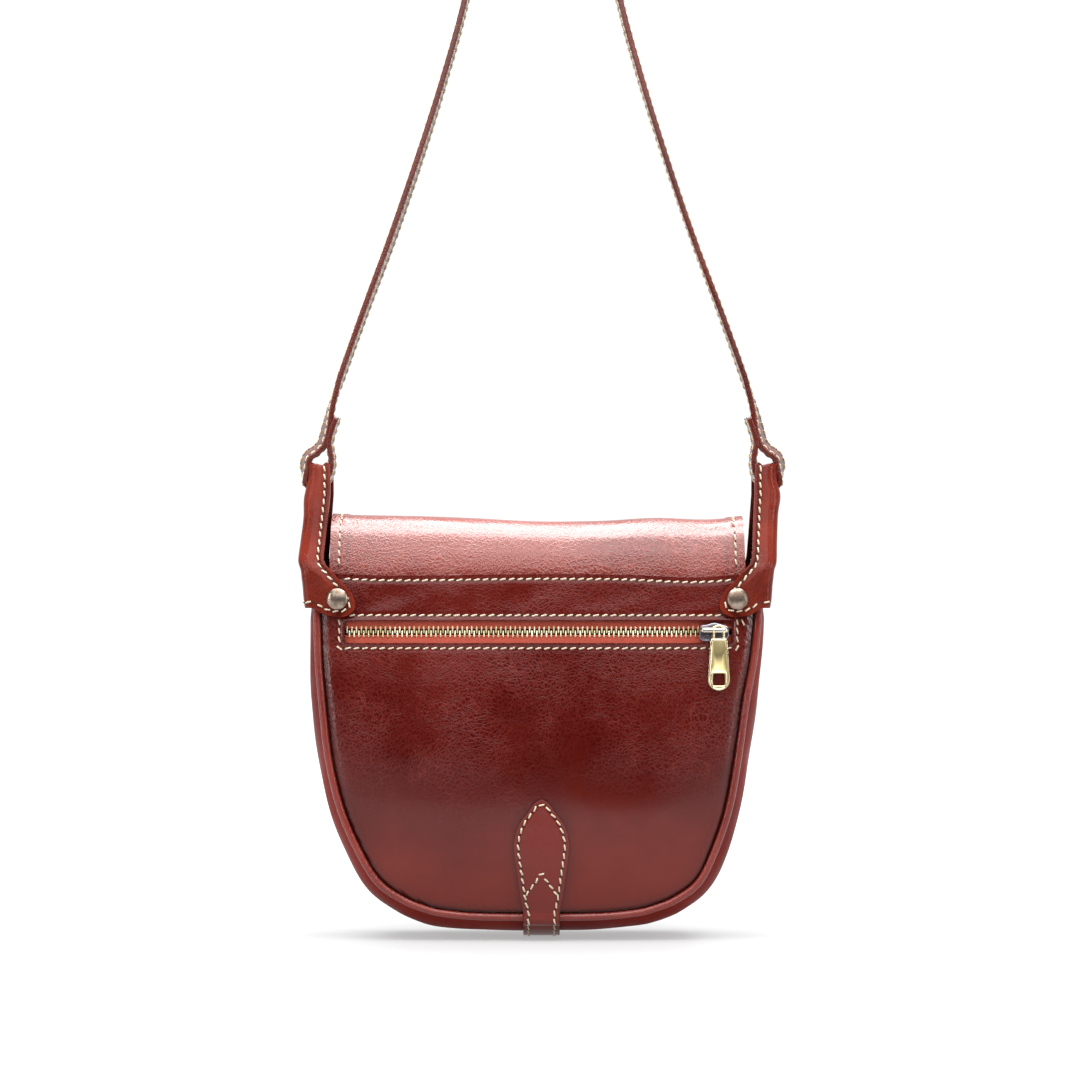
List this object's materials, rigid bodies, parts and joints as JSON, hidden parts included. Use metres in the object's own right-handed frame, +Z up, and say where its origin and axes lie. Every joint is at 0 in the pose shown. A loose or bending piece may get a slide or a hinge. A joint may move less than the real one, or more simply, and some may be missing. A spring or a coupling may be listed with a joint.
{
  "type": "crossbody bag",
  "caption": "Saddle-shaped leather crossbody bag with a flap over the top, a zip pocket in the back, side ears on rivets, a bottom tab and a long shoulder strap.",
  "frame": {"origin": "underside of the top of the shoulder strap's arch, where the bag hangs", "axes": "+Z up along the hanging strap; +X to the right when the back face with the zip is seen; -Y out of that back face"},
  "size_m": [0.2407, 0.0764, 0.7201],
  "materials": {
    "leather_glossy": "glossy pebbled cognac leather",
    "leather_smooth": "smooth glossy cognac leather",
    "leather_dark": "dark glossy leather over cord",
    "leather_tan": "smooth tan cognac leather",
    "leather_strap": "strap leather with dark edges",
    "zip_tape": "woven cotton tape",
    "zip_brass": "antique brass, satin",
    "gunmetal": "dark gunmetal plating, polished",
    "antique_metal": "antique nickel brass, polished dome"
  },
  "bodies": {
    "bag": {"back_panel": "leather_glossy", "front_panel": "leather_glossy", "flap": "leather_glossy", "bottom_tab": "leather_smooth", "gusset": "leather_glossy", "back_piping": "leather_dark", "front_piping": "leather_dark", "ear_left": "leather_tan", "ear_right": "leather_tan", "shoulder_strap": "leather_strap", "rivet_back_left": "antique_metal", "rivet_back_right": "antique_metal", "rivet_front_left": "antique_metal", "rivet_front_right": "antique_metal", "tab_stud": "antique_metal", "zip_tape_upper": "zip_tape", "zip_tape_lower": "zip_tape", "zip_teeth_upper": "zip_brass", "zip_teeth_lower": "zip_brass", "zip_slider": "gunmetal"},
    "pull": {"zip_pull": "zip_brass"}
  },
  "joints": [
    {"name": "pull_swing", "type": "hinge", "parent": "bag", "child": "pull", "pos_m": [0.0866, -0.03234, -0.5643], "axis": [-1, 0, 0], "range_deg": [0, 150]}
  ]
}
